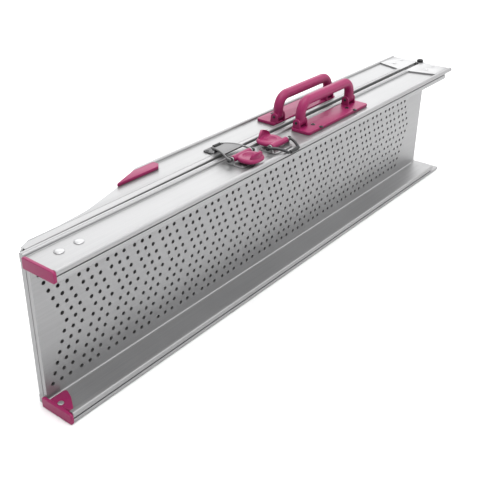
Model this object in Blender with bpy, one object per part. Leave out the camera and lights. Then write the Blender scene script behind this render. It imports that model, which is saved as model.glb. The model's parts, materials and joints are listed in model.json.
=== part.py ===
"""Portable folding and telescoping channel ramp for a wheelchair, stowed on its long side.

Local frame: X runs along the ramp from the lower end to the fold seam, Z across the running width,
and Y is zero on the fold plane, midway between the two back-to-back sections. The lower section
(outer channel with the telescoping inner channel) opens towards -Y and the upper one towards +Y.
"""
import bpy
import bmesh
from math import acos, cos, pi, radians, sin, tan
from mathutils import Vector

# ---------------------------------------------------------------- driving dimensions, metres
WIDTH = 0.225            # across the side walls, outside
SEAM_X = 1.027           # fold seam, and the X of the fold axis
END_GAP = 0.0004         # each section ends this far short of the seam
GAP = 0.0003             # air between pieces that touch on the real ramp
RIVET = 0.0022           # shank radius of every rivet
OVERCUT = 0.001          # how far a cutter runs past the face it opens

FOOT = 0.0045            # fold plane to the foot beads of either section
OUTER_RIM = 0.0715       # fold plane to the rim of the outer and inner channels
UPPER_RIM = 0.067        # fold plane to the rim of the upper channel
FLOOR_BACK = 0.0109      # fold plane to the underside of the floors
FLOOR = 0.0026           # floor plate
RECESS = 0.0042          # how far the wall web lies inside the beads
WALL = 0.0024            # wall web
FOOT_BEAD = 0.0085       # foot bead along Y
RIM_BEAD = 0.0075        # rim bead along Y
FOOT_EDGE = 0.0015       # rounding of the foot bead towards the fold plane
FOOT_BEAD_DEEP = 0.0125  # foot bead along Z
GROOVE = 0.0047          # groove in the foot bead, from its fold side
GROOVE_DEEP = 0.0010

SLIDE_PLAY = 0.0018      # outer wall to inner wall, where the glide pads run
INNER_LIFT = 0.0029      # outer floor to inner floor
INNER_PLATE = 0.0046     # floor plate of the inner channel
END_RIB = 0.0045         # rib across the lower end of both floors, along X
INNER_FLANGE = 0.0086    # width of the inner channel's rim
INNER_END = 1.000        # upper end of the inner channel, retracted
TRAVEL = 0.470           # how far the inner channel slides out
PAD = 0.0011             # thickness of the glide pads and travel stops
MOUTH_PAD_X = (0.018, 0.075)    # glide pad inside the outer channel's mouth
REAR_PAD_X = (0.950, 0.992)     # glide pad on the inner channel's far end
STOP_LONG = 0.026        # travel stop along X

CAP = 0.0045             # end cap along X
CAP_PROUD = 0.0008       # how far the end cap stands proud of the rims
TONGUE = 0.003           # thickness of the cap's tongue
CAP_BACK = 0.0150        # fold plane to the end cap, which leaves the floor ends free
CAP_RIVET = (0.005, -0.042)

LIP_EDGE_X = 0.0035      # free edge of the landing lip
LIP_BEND_X = 0.040       # its bend line, where the upper floor begins
LIP_TONGUE_X = 0.060     # end of its tongue under the upper floor
LIP = 0.0027             # lip plate
LIP_DROP = 0.0120        # how far the lip is bent down at its edge

HORN_FOOT = -0.0038      # the upper walls' feet dip past the fold plane at the landing end
HORN_END_X = 0.600       # and run straight from here on
# The cut edge of the upper walls, from the landing end up to the rim
TAPER = ((0.010, 0.0036, 0), (0.030, 0.0128, 0.020), (0.130, 0.0225, 0.10), (0.204, 0.0430, 0.02),
         (0.268, UPPER_RIM, 0.004))
WEDGE = (0.200, 0.2925)  # the plastic wedge along X
WEDGE_RISE = 0.0010      # how far the top wedge stands above the beads

LEAF = 0.0026            # hinge leaf
LEAF_START = 0.952       # leaf edge at the foot bead
LEAF_SLANT = 0.016       # how far the leaf edge leans along X
EAR = 0.0087             # radius of the hinge eyes
HINGE_BOLT = 0.003
BOLT_HEAD = 0.0062
HINGE_NUT = 0.0058       # radius of the hinge nuts, over the corners
HINGE_RIVET_X = (0.984, 1.014)
HINGE_RIVET_Y = 0.036

HANDLE_X = 0.6240        # middle of both handles
HANDLE_SPAN = 0.150      # between the centre lines of the feet
LOWER_HANDLE_Y = 0.026   # pivots of the two handles, from the fold plane
UPPER_HANDLE_Y = 0.0185
HANDLE_RISE = 0.0425     # centre line of the grip above the walls
GRIP = 0.0085            # radius of the grip bar
GRIP_BEND = 0.021
PIVOT_RISE = 0.0104      # handle pivot above the walls
HANDLE_PIN = 0.0024
KNUCKLE = 0.0068         # radius and half length of the grip's knuckles
KNUCKLE_HALF = 0.0082
LUG = 0.0032             # thickness of the base plate's lugs
LUG_SHIFT = 0.0101       # lug middle to foot centre line
LUG_RADIUS = 0.0065
PLATE_LEFT = 0.0885      # handle base plate along X, from the middle of the handle
PLATE_RIGHT = 0.0975
LOWER_PLATE_IN = 0.0165  # base plate edges, from the fold plane
UPPER_PLATE_IN = 0.0137
PLATE_OUT = 0.0535
PLATE_RISE = 0.0012      # base plate top above the beads

LATCH_SLIDE_X = 0.461    # clamp latch of the telescope
LATCH_FOLD_X = 0.388     # transport latch that holds the two sections together
SLIDE_PIN_Y = -0.0465
FOLD_PIN_Y = -0.0305
PIN_RISE = 0.0045        # latch pins above the walls
LATCH_PIN = 0.0018
LATCH_PIN_HALF = 0.0315
LATCH_SHEET = 0.0016     # sheet of the latch bases and of the keeper
EAR_SHIFT = 0.0225       # latch ear to latch middle
LATCH_EAR = 0.0042       # radius of a latch ear
LEVER_WIDE = 0.041
LEVER_LONG = 0.036
CAM = 0.0050             # radius of the lever's cam
THUMB_HALF = 0.0105      # half the width of the lever's upright thumb plate
THUMB_RISE = 0.0185
BAIL_HALF = 0.0285       # half the width of a bail at the pin, between wire centres
SLIDE_BAR_HALF = 0.0130  # and at the end bars
FOLD_BAR_HALF = 0.0110
BAIL_EYE = 0.0036
STRAP = 0.0014           # thickness of the strap between the transport latch's legs
STRAP_CORNERS = ((-1, -1), (1, -1), (1, 1), (-1, 1))
BAIL_RISE = 0.0008       # the clamp latch's end bar above the wall's top
BAIL_FRONT = 0.0040      # and how far in front of the rims
WIRE = 0.0015            # bail wire radius
SLEEVE = 0.003           # radius of the black sleeve on the bail's end bar
KEEPER_Y = 0.0172        # where the transport latch's end bar lies

WEB = WIDTH - RECESS               # outer face of the upper wall's web
WEB_IN = WEB - WALL                # its inner face
INNER_SIDE = WEB_IN - SLIDE_PLAY   # outer face of the inner channel's wall
INNER_FACE = INNER_SIDE - WALL     # its inner face
INNER_BACK = FLOOR_BACK + FLOOR + INNER_LIFT
INNER_FLOOR = INNER_BACK + INNER_PLATE
SEAT = WEB + GAP                   # where pieces that lie in the recess begin
PLATE_TOP = WIDTH + PLATE_RISE
STOP_X = MOUTH_PAD_X[1] + TRAVEL + 0.0005
X_MID = (SEAM_X + EAR - CAP) / 2
Y_MID = (UPPER_RIM - OUTER_RIM - BAIL_FRONT - SLEEVE) / 2
ENDS = (("top", True), ("bottom", False))

ALUMINIUM = ((0.72, 0.72, 0.72), 0.38, 1.0)
BRIGHT = ((0.80, 0.80, 0.80), 0.28, 1.0)
MAGENTA = ((0.40, 0.020, 0.110), 0.38, 0.0)
CHROME = ((0.55, 0.55, 0.56), 0.16, 1.0)
BLACK = ((0.015, 0.015, 0.016), 0.45, 0.0)


# ---------------------------------------------------------------- scene and objects
def clear_scene():
    for old in list(bpy.data.objects):
        bpy.data.objects.remove(old)


def make_material(name, look):
    colour, roughness, metallic = look
    material = bpy.data.materials.new(name)
    material.use_nodes = True
    shader = material.node_tree.nodes["Principled BSDF"]
    shader.inputs["Base Color"].default_value = (*colour, 1.0)
    shader.inputs["Roughness"].default_value = roughness
    shader.inputs["Metallic"].default_value = metallic
    return material


def add(name, bm, look, origin=(0, 0, 0), smooth=False):
    """Turn a bmesh in the local frame into an object whose origin is at the given point."""
    bmesh.ops.remove_doubles(bm, verts=bm.verts, dist=1e-6)
    bmesh.ops.recalc_face_normals(bm, faces=bm.faces)
    bmesh.ops.translate(bm, verts=bm.verts, vec=-Vector(origin))
    mesh = bpy.data.meshes.new(name)
    bm.to_mesh(mesh)
    bm.free()
    if smooth:
        mesh.shade_smooth()
        mesh.set_sharp_from_angle(angle=radians(35))
    thing = bpy.data.objects.new(name, mesh)
    bpy.context.collection.objects.link(thing)
    thing.parent = frame
    thing.location = origin
    if look is not None:
        mesh.materials.append(make_material(name, look))
    return thing


def combine(thing, bm, operation="DIFFERENCE"):
    """Cut another closed shape out of an object, or join it on, with a Boolean modifier."""
    tool = add(f"{thing.name}_{operation.lower()}_{len(thing.modifiers)}", bm, None)
    tool.hide_render = True
    tool.display_type = "WIRE"
    modifier = thing.modifiers.new(operation.title(), "BOOLEAN")
    modifier.operation = operation
    modifier.object = tool


def soften(thing, width, segments):
    """Break the sharp edges of a moulded piece."""
    bevel = thing.modifiers.new("Soft edges", "BEVEL")
    bevel.width = width
    bevel.segments = segments
    bevel.limit_method = "ANGLE"
    bevel.angle_limit = radians(60)


# ---------------------------------------------------------------- outlines
def rounded(corners, steps=3):
    """Replace each (u, v, radius) corner of a closed outline with an arc."""
    outline = []
    for i, (u, v, radius) in enumerate(corners):
        here = Vector((u, v))
        to_last = (Vector(corners[i - 1][:2]) - here).normalized()
        to_next = (Vector(corners[(i + 1) % len(corners)][:2]) - here).normalized()
        half = acos(max(-1.0, min(1.0, to_last.dot(to_next)))) / 2
        if radius == 0:
            outline.append(here)
            continue
        centre = here + (to_last + to_next).normalized() * radius / sin(half)
        start = here + to_last * radius / tan(half) - centre
        end = here + to_next * radius / tan(half) - centre
        turn = start.angle_signed(end)
        for k in range(steps + 1):
            angle = -turn * k / steps
            spun = Vector((start.x * cos(angle) - start.y * sin(angle),
                           start.x * sin(angle) + start.y * cos(angle)))
            outline.append(centre + spun)
    return outline


def rectangle(u0, v0, u1, v1, radius=0):
    return rounded([(u0, v0, radius), (u1, v0, radius), (u1, v1, radius), (u0, v1, radius)])


def circle(u, v, radius, sides):
    return [Vector((u + radius * cos(2 * pi * k / sides), v + radius * sin(2 * pi * k / sides)))
            for k in range(sides)]


def arch(u, v, radius, foot_half, foot_v):
    """An ear outline: half a circle above (u, v) that widens to a foot."""
    outline = [Vector((u + radius * cos(pi * k / 8), v + radius * sin(pi * k / 8))) for k in range(9)]
    return outline + [Vector((u - foot_half, foot_v)), Vector((u + foot_half, foot_v))]


# ---------------------------------------------------------------- solids
def placed(axis, along, u, v):
    """A point from its place along an axis and its two other coordinates, in X, Y, Z order."""
    if axis == "X":
        return (along, u, v)
    if axis == "Y":
        return (u, along, v)
    return (u, v, along)


def loft(rings, bm=None):
    """A closed solid through rings of the same number of points."""
    bm = bm or bmesh.new()
    rings = [[bm.verts.new(point) for point in ring] for ring in rings]
    bm.faces.new(rings[0])
    bm.faces.new(rings[-1])
    count = len(rings[0])
    for ring, after in zip(rings, rings[1:]):
        for i in range(count):
            j = (i + 1) % count
            bm.faces.new((ring[i], ring[j], after[j], after[i]))
    return bm


def prism(outline, axis, low, high, bm=None):
    return loft([[placed(axis, along, *point) for point in outline] for along in (low, high)], bm)


def turned(profile, axis, u, v, sides=12, bm=None):
    """A closed turned shape from (along, radius) pairs, round a line parallel to an axis."""
    return loft([[placed(axis, along, *point) for point in circle(u, v, radius, sides)]
                 for along, radius in profile], bm)


def rod(axis, spot, low, high, radius, chamfer=0.0005, sides=10):
    """A plain pin with chamfered ends."""
    profile = [(low, radius - chamfer), (low + chamfer, radius), (high - chamfer, radius),
               (high, radius - chamfer)]
    return turned(profile, axis, *spot, sides=sides)


def swept(path, radius, sides=10):
    """A round bar along a path that lies in one plane."""
    path = [Vector(point) for point in path]
    normal = next(n for a, b, c in zip(path, path[1:], path[2:])
                  if (n := (b - a).cross(c - b)).length > 1e-9).normalized()
    rings = []
    for i, point in enumerate(path):
        before = (point - path[max(i - 1, 0)]).normalized()
        after = (path[min(i + 1, len(path) - 1)] - point).normalized()
        along = (before + after).normalized()
        side = normal.cross(along)
        stretch = 1 / max(0.5, along.dot(after if after.length else before))
        rings.append([point + side * (radius * stretch * cos(2 * pi * k / sides))
                      + normal * (radius * sin(2 * pi * k / sides)) for k in range(sides)])
    return loft(rings)


def across(z, top):
    """A height measured for the upper wall, or its mirror image for the lower wall."""
    return z if top else WIDTH - z


def span(low, high, top):
    """Two heights for the upper wall, or their mirror images, lowest first."""
    return sorted((across(low, top), across(high, top)))


def section(half, side):
    """A whole channel section from the half at the upper wall, opening towards the given side."""
    corners = half + [(t, WIDTH - z, radius) for t, z, radius in reversed(half)]
    return [Vector((side * t, z)) for t, z in rounded(corners)]


# ---------------------------------------------------------------- fasteners
def rivet(name, spot, face, out, grip, head, rise):
    """A rivet along Z: a domed head on the given face, pointing along out, and a shank back by grip."""
    seat = face + out * 0.0001
    profile = [(face + out * rise, head * 0.45), (face + out * rise * 0.7, head * 0.8), (seat, head),
               (seat - out * 0.00005, RIVET), (face - out * grip, RIVET)]
    return add(name, turned(profile, "Z", *spot, sides=10), BRIGHT, smooth=True)


def hole(thing, axis, spot, low, high, radius=RIVET + 0.0004):
    combine(thing, turned([(low, radius), (high, radius)], axis, *spot, sides=10))


# ---------------------------------------------------------------- channels
def channel_half(rim, foot=FOOT):
    """Half of an outer or upper section: floor, beaded foot, recessed web and beaded rim."""
    return [(FLOOR_BACK, WIDTH - FOOT_BEAD_DEEP, 0.001), (foot, WIDTH - FOOT_BEAD_DEEP, 0.001),
            (foot, WIDTH, FOOT_EDGE), (FOOT + GROOVE - GROOVE_DEEP / 2, WIDTH, 0),
            (FOOT + GROOVE, WIDTH - GROOVE_DEEP, 0), (FOOT + GROOVE + GROOVE_DEEP / 2, WIDTH, 0),
            (FOOT + FOOT_BEAD, WIDTH, 0.0028), (FOOT + FOOT_BEAD, WEB, 0.0006),
            (rim - RIM_BEAD, WEB, 0.0006), (rim - RIM_BEAD, WIDTH, 0.0028), (rim, WIDTH, 0.003),
            (rim, WEB_IN, 0.0006), (FLOOR_BACK + FLOOR, WEB_IN, 0.002)]


def cut_beads(thing, x0, x1, y0, y1):
    """Mill both beads of a channel flush with the web, over the given rectangle."""
    bm = bmesh.new()
    for low, high in ((WEB, WIDTH + 2 * OVERCUT), (-2 * OVERCUT, RECESS)):
        prism(rectangle(x0, y0, x1, y1), "Z", low, high, bm)
    combine(thing, bm)


def cut_for_leaves(thing, side):
    y0, y1 = sorted((side * (FOOT - 2 * OVERCUT), side * (FOOT + FOOT_BEAD + OVERCUT)))
    cut_beads(thing, LEAF_START - 0.001, SEAM_X + 0.01, y0, y1)


def add_end_rib(thing, y0, y1):
    """A rib across the lower end of a floor, which nearly closes the slot behind it."""
    rib = rectangle(2 * GAP, y0, END_RIB, y1)
    combine(thing, prism(rib, "Z", FOOT_BEAD_DEEP - OVERCUT, WIDTH - FOOT_BEAD_DEEP + OVERCUT), "UNION")


def outer_channel():
    bm = prism(section(channel_half(OUTER_RIM), -1), "X", GAP, SEAM_X - END_GAP)
    thing = add("outer_channel", bm, ALUMINIUM)
    cut_for_leaves(thing, -1)
    add_end_rib(thing, -FLOOR_BACK - OVERCUT, -FOOT - GAP)
    return thing


def inner_channel():
    half = [(INNER_BACK, INNER_SIDE, 0.003), (OUTER_RIM, INNER_SIDE, 0.0015),
            (OUTER_RIM, INNER_SIDE - INNER_FLANGE, 0.002),
            (OUTER_RIM - RIM_BEAD, INNER_SIDE - INNER_FLANGE, 0.001),
            (OUTER_RIM - RIM_BEAD, INNER_FACE, 0.0006), (INNER_FLOOR, INNER_FACE, 0.003)]
    bm = prism(section(half, -1), "X", GAP, INNER_END)
    thing = add("inner_channel", bm, ALUMINIUM, origin=(0, -OUTER_RIM, WIDTH / 2))
    add_end_rib(thing, -INNER_BACK - OVERCUT, -FLOOR_BACK - FLOOR - GAP)
    return thing


def upper_channel():
    """The section that folds over: its walls taper down and run on past the floor at the landing end."""
    stations = ((TAPER[0][0], HORN_FOOT), (HORN_END_X, FOOT), (SEAM_X - END_GAP, FOOT))
    bm = loft([[(x, *point) for point in section(channel_half(UPPER_RIM, foot), 1)]
               for x, foot in stations])
    thing = add("upper_channel", bm, ALUMINIUM, origin=(SEAM_X, 0, WIDTH / 2))
    cut_for_leaves(thing, 1)
    x0, y0 = TAPER[0][:2]
    x1 = TAPER[-1][0]
    over = UPPER_RIM + 10 * OVERCUT
    cut = [(x0 - 0.01, y0, 0), *TAPER, (x1 + 0.02, over - 0.005, 0), (x1, over, 0), (x0 - 0.01, over, 0)]
    combine(thing, prism(rounded(cut, 5), "Z", -10 * OVERCUT, WIDTH + 10 * OVERCUT))
    floor_room = rectangle(x0 - OVERCUT, HORN_FOOT - OVERCUT, LIP_BEND_X + GAP, 2 * FLOOR_BACK)
    combine(thing, prism(floor_room, "Z", FOOT_BEAD_DEEP, WIDTH - FOOT_BEAD_DEEP))
    return thing


# ---------------------------------------------------------------- lower end
def end_cap(name, top):
    """A moulded cap over the ends of both nested walls, with a tongue riveted inside the inner one."""
    rim_y = -OUTER_RIM - CAP_PROUD
    foot_y = -CAP_BACK
    z0, z1 = span(INNER_SIDE - INNER_FLANGE + 0.001, WIDTH, top)
    face = rounded([(rim_y, z0, 0.003), (foot_y, z0, 0.0015), (foot_y, z1, 0.003), (rim_y, z1, 0.004)])
    thing = add(name, prism(face, "X", -CAP, 0.0), MAGENTA, smooth=True)
    t0, t1 = span(INNER_FACE - GAP - TONGUE, INNER_FACE - GAP, top)
    edge_y = -OUTER_RIM + RIM_BEAD + OVERCUT
    tongue = rounded([(-0.0010, edge_y, 0), (-0.0010, -0.0248, 0), (0.029, -0.0248, 0.004),
                      (0.022, -0.042, 0.012), (0.008, edge_y, 0.004)])
    combine(thing, prism(tongue, "Z", t0, t1), "UNION")
    soften(thing, 0.0006, 1)
    return thing


def fit_end_caps(inner):
    for end, top in ENDS:
        cap = end_cap(f"end_cap_{end}", top)
        low, high = span(INNER_FACE - 0.006, INNER_SIDE + OVERCUT, top)
        for thing in (cap, inner):
            hole(thing, "Z", CAP_RIVET, low, high)
        face = across(INNER_FACE - GAP - TONGUE, top)
        rivet(f"end_cap_rivet_{end}", CAP_RIVET, face, -1 if top else 1, 0.0055, 0.0042, 0.0014)


def inner_pad(name, x0, x1, top):
    """A pad on the inner channel's wall, in the play between the two walls."""
    low, high = span(INNER_SIDE + GAP, INNER_SIDE + GAP + PAD, top)
    add(name, prism(rectangle(x0, -0.060, x1, -0.024, 0.003), "Z", low, high), BLACK)


def telescope_guides(outer):
    """Glides riveted inside the outer channel's mouth, and stops and glides on the inner channel."""
    for end, top in ENDS:
        low, high = span(WEB_IN - GAP - 0.0010, WEB_IN - GAP, top)
        pad = prism(rectangle(MOUTH_PAD_X[0], -0.062, MOUTH_PAD_X[1], -0.022, 0.004), "Z", low, high)
        glide = add(f"mouth_glide_{end}", pad, BLACK)
        low, high = span(WEB_IN - 0.0017, WEB + OVERCUT, top)
        for number, spot in enumerate(((0.036, -0.0335), (0.067, -0.0335)), 1):
            for thing in (glide, outer):
                hole(thing, "Z", spot, low, high)
            face = across(WEB + 0.0001, top)
            rivet(f"glide_rivet_{end}_{number}", spot, face, 1 if top else -1, 0.0036, 0.0066, 0.0018)
        inner_pad(f"travel_stop_{end}", STOP_X, STOP_X + STOP_LONG, top)
        inner_pad(f"rear_glide_{end}", *REAR_PAD_X, top)


# ---------------------------------------------------------------- landing end
def landing_lip():
    """A plate under the upper floor, bent down between the foot beads to a full-width edge."""
    inset = FOOT_BEAD_DEEP + 0.0005
    back = FLOOR_BACK - GAP - LIP
    shoulder_x = TAPER[0][0] - 2 * GAP
    stations = [(LIP_EDGE_X, 0.006), (LIP_EDGE_X + 0.0016, 0.0018), (LIP_EDGE_X + 0.0045, 0.0),
                (shoulder_x, 0.0), (shoulder_x + GAP, inset), (0.022, inset), (0.030, inset),
                (0.035, inset), (LIP_BEND_X, inset),
                (LIP_TONGUE_X - 0.003, inset), (LIP_TONGUE_X, inset + 0.003)]
    rings = []
    for x, margin in stations:
        reach = max(0.0, LIP_BEND_X - x) / (LIP_BEND_X - LIP_EDGE_X)
        y = back - LIP_DROP * reach ** 1.25
        rings.append([(x, *corner) for corner in rectangle(y, margin, y + LIP, WIDTH - margin)])
    add("landing_lip", loft(rings), ALUMINIUM)


def rim_wedge(name, low, high):
    """A moulded wedge in the wall recess that closes the cut end of the rim bead."""
    edge_y = UPPER_RIM - RIM_BEAD - 0.0005
    outline = [(WEDGE[0], 0.0425, 0.001), (WEDGE[1] - 0.008, 0.0410, 0.003), (WEDGE[1], 0.0485, 0.003),
               (WEDGE[1], edge_y, 0.003), (0.250, edge_y, 0.006)]
    thing = add(name, prism(rounded(outline), "Z", low, high), MAGENTA, smooth=True)
    soften(thing, 0.0008, 2)


# ---------------------------------------------------------------- fold hinge
def hinge_leaf(name, side, top):
    """A plate in the wall recess whose half-lapped eye turns on the fold axis."""
    low, high = span(SEAT, SEAT + LEAF, top)
    middle = (low + high) / 2
    rim_y = (OUTER_RIM if side < 0 else UPPER_RIM) - RIM_BEAD - 0.0006
    neck = FOOT + 0.0005
    end_x = SEAM_X - 2 * END_GAP
    start = -acos(-(EAR ** 2 - neck ** 2) ** 0.5 / EAR)
    end = -acos(-(2 * END_GAP) / EAR)
    arc = [start - (2 * pi + start - end) * k / 16 for k in range(17)]
    outline = [(LEAF_START, -neck)]
    outline += [(SEAM_X + EAR * cos(angle), EAR * sin(angle)) for angle in arc]
    outline += [(end_x, -rim_y), (LEAF_START + LEAF_SLANT, -rim_y)]
    outline = [Vector((x, -side * y)) for x, y in outline]
    leaf = add(name, prism(outline, "Z", low, high), BRIGHT, origin=(SEAM_X, 0, middle))
    keeps_upper_half = (side < 0) == top
    lap = (low - OVERCUT, middle + 0.0001) if keeps_upper_half else (middle - 0.0001, high + OVERCUT)
    clearance = EAR + 2 * GAP
    combine(leaf, turned([(lap[0], clearance), (lap[1], clearance)], "Z", SEAM_X, 0, sides=24))
    hole(leaf, "Z", (SEAM_X, 0), low - OVERCUT, high + OVERCUT, radius=HINGE_BOLT + 0.0004)
    return leaf


def hinge_leaves(section_name, side, channel):
    for end, top in ENDS:
        leaf = hinge_leaf(f"hinge_leaf_{section_name}_{end}", side, top)
        low, high = span(WEB_IN - OVERCUT, WIDTH, top)
        for number, x in enumerate(HINGE_RIVET_X, 1):
            spot = (x, side * HINGE_RIVET_Y)
            for thing in (leaf, channel):
                hole(thing, "Z", spot, low, high)
            name = f"hinge_rivet_{section_name}_{end}_{number}"
            rivet(name, spot, across(SEAT + LEAF, top), 1 if top else -1, 0.0054, 0.0036, 0.0010)


def hinge_bolts(channels):
    """A bolt and a nut at each wall. The top bolt has a tall black cap, the bottom one a flat head."""
    for (end, top), rise, look in zip(ENDS, (0.0050, 0.0010), (BLACK, CHROME)):
        face = SEAT + LEAF + 0.0001
        profile = [(across(face + rise, top), BOLT_HEAD - 0.0012),
                   (across(face + rise * 0.8, top), BOLT_HEAD), (across(face, top), BOLT_HEAD),
                   (across(face - 0.00005, top), HINGE_BOLT), (across(WEB - 0.0072, top), HINGE_BOLT)]
        add(f"hinge_bolt_{end}", turned(profile, "Z", SEAM_X, 0, sides=12), look, smooth=True)
        low, high = span(WEB - 0.0060, WEB - 0.0001, top)
        nut = add(f"hinge_nut_{end}", prism(circle(SEAM_X, 0, HINGE_NUT, 6), "Z", low, high), CHROME)
        hole(nut, "Z", (SEAM_X, 0), low - OVERCUT, high + OVERCUT, radius=HINGE_BOLT + 0.0004)
        for channel in channels:
            low, high = span(WEB - 0.0072, WEB + OVERCUT, top)
            hole(channel, "Z", (SEAM_X, 0), low, high, radius=HINGE_NUT + 0.0006)


# ---------------------------------------------------------------- handles
def handle_base(name, side, pivot, feet, inner_y):
    """A base plate in the wall recess, with two lugs at each foot of the handle."""
    y0, y1 = sorted((side * inner_y, side * PLATE_OUT))
    plate = rectangle(HANDLE_X - PLATE_LEFT, y0, HANDLE_X + PLATE_RIGHT, y1, 0.005)
    base = add(name, prism(plate, "Z", SEAT, PLATE_TOP), MAGENTA, smooth=True)
    lugs = bmesh.new()
    for foot in feet:
        for middle in (foot - LUG_SHIFT, foot + LUG_SHIFT):
            outline = arch(*pivot, LUG_RADIUS, LUG_RADIUS + 0.001, PLATE_TOP - OVERCUT)
            prism(outline, "X", middle - LUG / 2, middle + LUG / 2, lugs)
    combine(base, lugs, "UNION")
    return base


def grip_path(pivot, feet):
    """Up from one foot, along the grip, and down to the other foot."""
    y, foot_z = pivot
    top_z = WIDTH + HANDLE_RISE
    path = [(feet[0], y, foot_z)]
    for centre_x, start in ((feet[0] + GRIP_BEND, pi), (feet[1] - GRIP_BEND, pi / 2)):
        for k in range(6):
            angle = start - pi / 2 * k / 5
            path.append((centre_x + GRIP_BEND * cos(angle), y,
                         top_z - GRIP_BEND + GRIP_BEND * sin(angle)))
    return path + [(feet[1], y, foot_z)]


def handle_grip(name, pivot, feet):
    """A round bar bent down at both ends into knuckles that turn between the lugs."""
    y, z = pivot
    grip = add(name, swept(grip_path(pivot, feet), GRIP, sides=12), MAGENTA,
               origin=(HANDLE_X, y, z), smooth=True)
    knuckles = bmesh.new()
    waste = bmesh.new()
    for foot in feet:
        turned([(foot - KNUCKLE_HALF, KNUCKLE - 0.0013), (foot - KNUCKLE_HALF + 0.001, KNUCKLE),
                (foot + KNUCKLE_HALF - 0.001, KNUCKLE), (foot + KNUCKLE_HALF, KNUCKLE - 0.0013)],
               "X", y, z, bm=knuckles)
        prism(rectangle(foot - 0.012, z - 0.012, foot + 0.012, z - KNUCKLE - 0.0001), "Y",
              y - 0.02, y + 0.02, waste)
        for middle in (foot - KNUCKLE_HALF - 0.0026, foot + KNUCKLE_HALF + 0.0026):
            prism(rectangle(middle - 0.0025, z - 0.013, middle + 0.0025, z + LUG_RADIUS + 0.002), "Y",
                  y - 0.012, y + 0.012, waste)
    combine(grip, knuckles, "UNION")
    combine(grip, waste)
    return grip


def handle(name, side, plane, inner_y):
    pivot = (side * plane, WIDTH + PIVOT_RISE)
    feet = (HANDLE_X - HANDLE_SPAN / 2, HANDLE_X + HANDLE_SPAN / 2)
    base = handle_base(f"handle_base_{name}", side, pivot, feet, inner_y)
    grip = handle_grip(f"handle_grip_{name}", pivot, feet)
    for end, foot in zip(("left", "right"), feet):
        for thing in (base, grip):
            hole(thing, "X", pivot, foot - 0.016, foot + 0.016, radius=HANDLE_PIN + 0.0005)
        pin = rod("X", pivot, foot - 0.0125, foot + 0.0125, HANDLE_PIN)
        add(f"handle_pin_{name}_{end}", pin, CHROME, smooth=True)


# ---------------------------------------------------------------- latches
def latch_base(name, x, pin, reach):
    """A sheet base in the wall recess with an upright ear at each end of the pin."""
    pin_y, pin_z = pin
    y0, y1 = sorted((pin_y + reach * 0.012, pin_y - reach * 0.022))
    sheet = rectangle(x - 0.024, y0, x + 0.024, y1, 0.005)
    base = add(name, prism(sheet, "Z", SEAT, SEAT + LATCH_SHEET), CHROME)
    ears = bmesh.new()
    for middle in (x - EAR_SHIFT, x + EAR_SHIFT):
        outline = arch(pin_y, pin_z, LATCH_EAR, 0.0070, SEAT + LATCH_SHEET / 2)
        prism(outline, "X", middle - 0.0009, middle + 0.0009, ears)
    combine(base, ears, "UNION")
    return base


def signed_power(value, power):
    return abs(value) ** power * (1 if value > 0 else -1)


def latch_lever(name, x, pin, reach):
    """A rounded paddle with a cam on the pin, an upright thumb plate at its tip and a dished top."""
    pin_y, pin_z = pin
    tip = pin_y - reach * LEVER_LONG
    centre = Vector((x, (pin_y + tip) / 2))
    angles = [2 * pi * k / 20 for k in range(20)]
    paddle = [Vector((LEVER_WIDE / 2 * signed_power(cos(angle), 0.75),
                      LEVER_LONG / 2 * signed_power(sin(angle), 0.85))) for angle in angles]
    levels = ((0.0012, 0.86), (0.0030, 1.0), (0.0062, 1.0), (0.0085, 0.86))
    rings = [[(*(centre + point * scale), WIDTH + rise) for point in paddle] for rise, scale in levels]
    lever = add(name, loft(rings), MAGENTA, origin=(x, pin_y, pin_z), smooth=True)
    combine(lever, turned([(x - 0.0205, CAM), (x + 0.0205, CAM)], "X", pin_y, pin_z, sides=14), "UNION")
    t0, t1 = sorted((tip + reach * 0.0008, tip + reach * 0.0044))
    thumb = rectangle(x - THUMB_HALF, WIDTH + 0.003, x + THUMB_HALF, WIDTH + THUMB_RISE, 0.005)
    combine(lever, prism(thumb, "Y", t0, t1), "UNION")
    dish = [(WIDTH + 0.0040, 0.0055), (WIDTH + 0.0065, 0.0080), (WIDTH + 0.0110, 0.0100)]
    combine(lever, turned(dish, "Z", x, centre.y + reach * 0.001, sides=14))
    for side in (-1, 1):
        ear_room = [(x + side * 0.0207, LATCH_EAR + 0.0015), (x + side * 0.026, LATCH_EAR + 0.0015)]
        combine(lever, turned(ear_room, "X", pin_y, pin_z, sides=14))
    return lever


def latch_bail(name, x, pin, path, bar_half, has_strap):
    """A wire loop: an eye on the pin at each side, two legs that draw together and an end bar.

    A strap can fill the space between the legs.
    """
    run = path[-1][0] - path[0][0]
    shape = [(BAIL_HALF + (bar_half - BAIL_HALF) * (y - path[0][0]) / run, y, z) for y, z in path]
    legs = [[(x + side * half, y, z) for half, y, z in shape] for side in (-1, 1)]
    bail = add(name, swept(legs[0], WIRE, sides=8), CHROME, origin=(x, *pin), smooth=True)
    combine(bail, swept(legs[1], WIRE, sides=8), "UNION")
    reach = bar_half + WIRE
    bar = turned([(x - reach, WIRE * 1.05), (x + reach, WIRE * 1.05)], "X", *path[-1], sides=8)
    combine(bail, bar, "UNION")
    eyes = bmesh.new()
    for middle in (x - BAIL_HALF, x + BAIL_HALF):
        turned([(middle - 0.0016, BAIL_EYE), (middle + 0.0016, BAIL_EYE)], "X", *pin, bm=eyes)
    combine(bail, eyes, "UNION")
    if has_strap:
        rings = [[(x + end * half, y, z + face * STRAP / 2) for end, face in STRAP_CORNERS]
                 for half, y, z in shape[2:-1]]
        combine(bail, loft(rings), "UNION")
    return bail


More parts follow.
